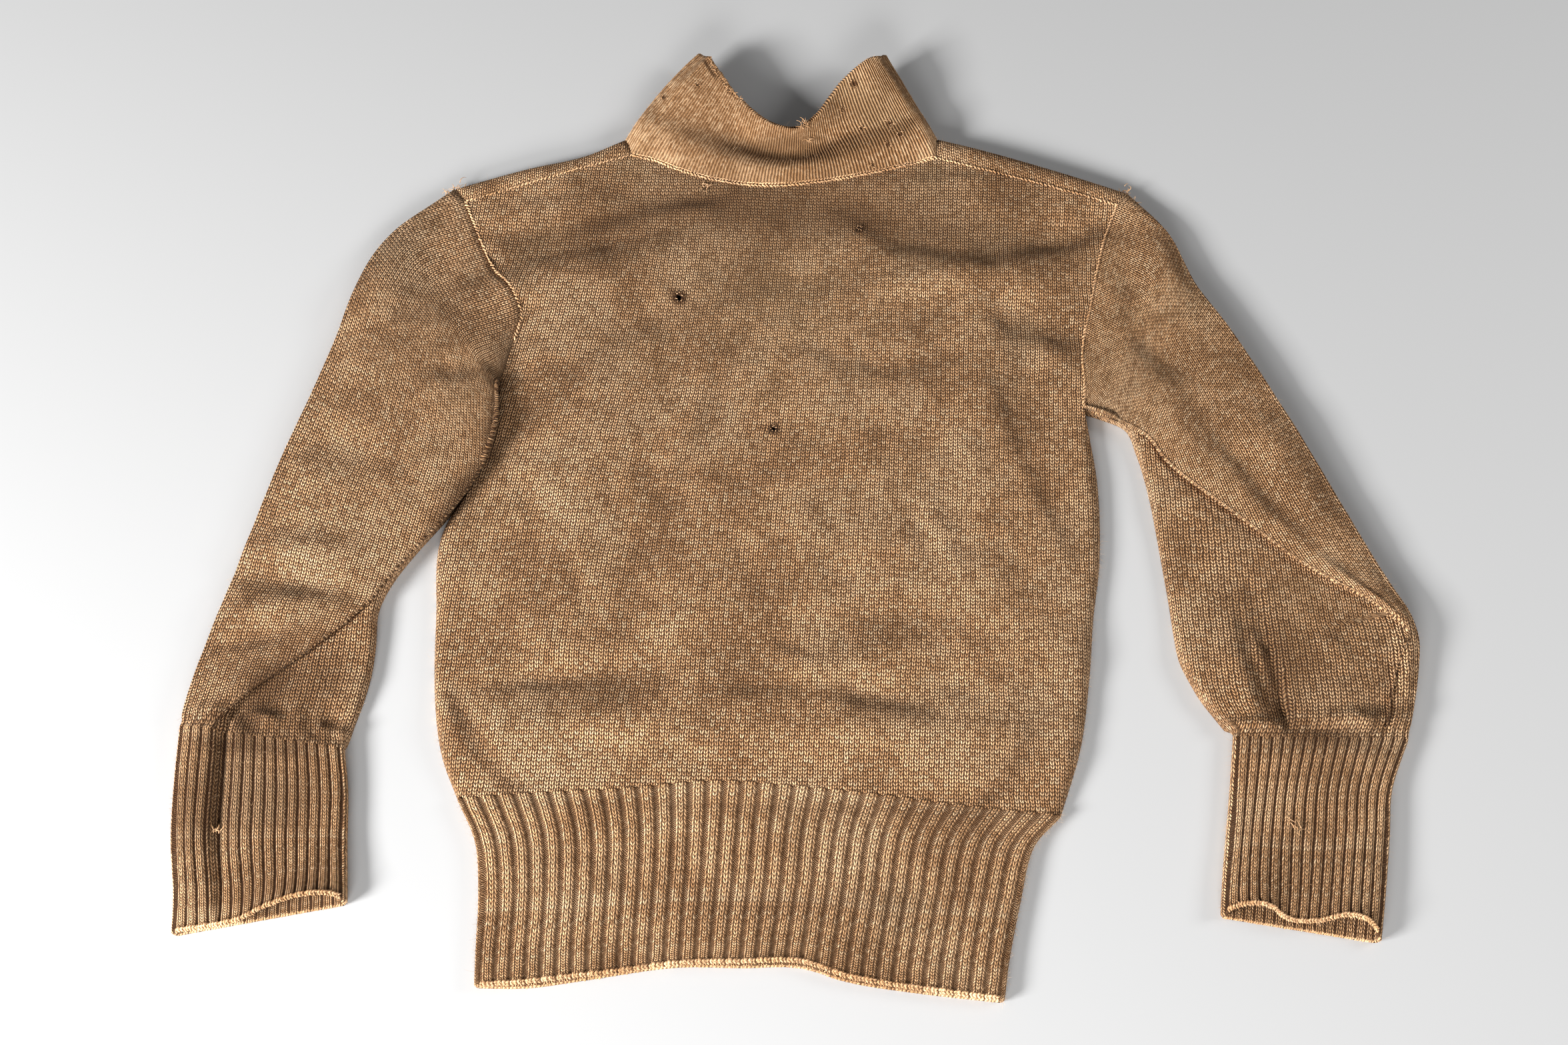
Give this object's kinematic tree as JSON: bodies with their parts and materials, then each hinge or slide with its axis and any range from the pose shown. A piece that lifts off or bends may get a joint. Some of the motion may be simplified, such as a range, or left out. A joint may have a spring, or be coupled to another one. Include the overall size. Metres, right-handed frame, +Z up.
{
  "type": "knitted wool pullover sweater, laid flat",
  "caption": "Heavy knitted wool pullover with a high doubled collar, ribbed cuffs and a ribbed hem, laid face down with its sleeves folded at the elbows.",
  "frame": {"origin": "centre of the bounding box, on the surface that the sweater lies on", "axes": "+Z up from the surface, +X across the body to the wearer's right as seen from the back, +Y from the hem to the collar"},
  "size_m": [0.9062, 0.806, 0.0301],
  "materials": {
    "knit": "matte stockinette wool",
    "rib": "matte ribbed wool",
    "collar_rib": "matte fine ribbed wool, worn"
  },
  "bodies": {
    "root": {"back_panel": "knit", "front_panel": "knit", "sleeve_left": "knit", "sleeve_right": "knit", "cuff_left": "rib", "cuff_right": "rib", "hem_rib": "rib", "collar": "collar_rib"}
  },
  "joints": []
}
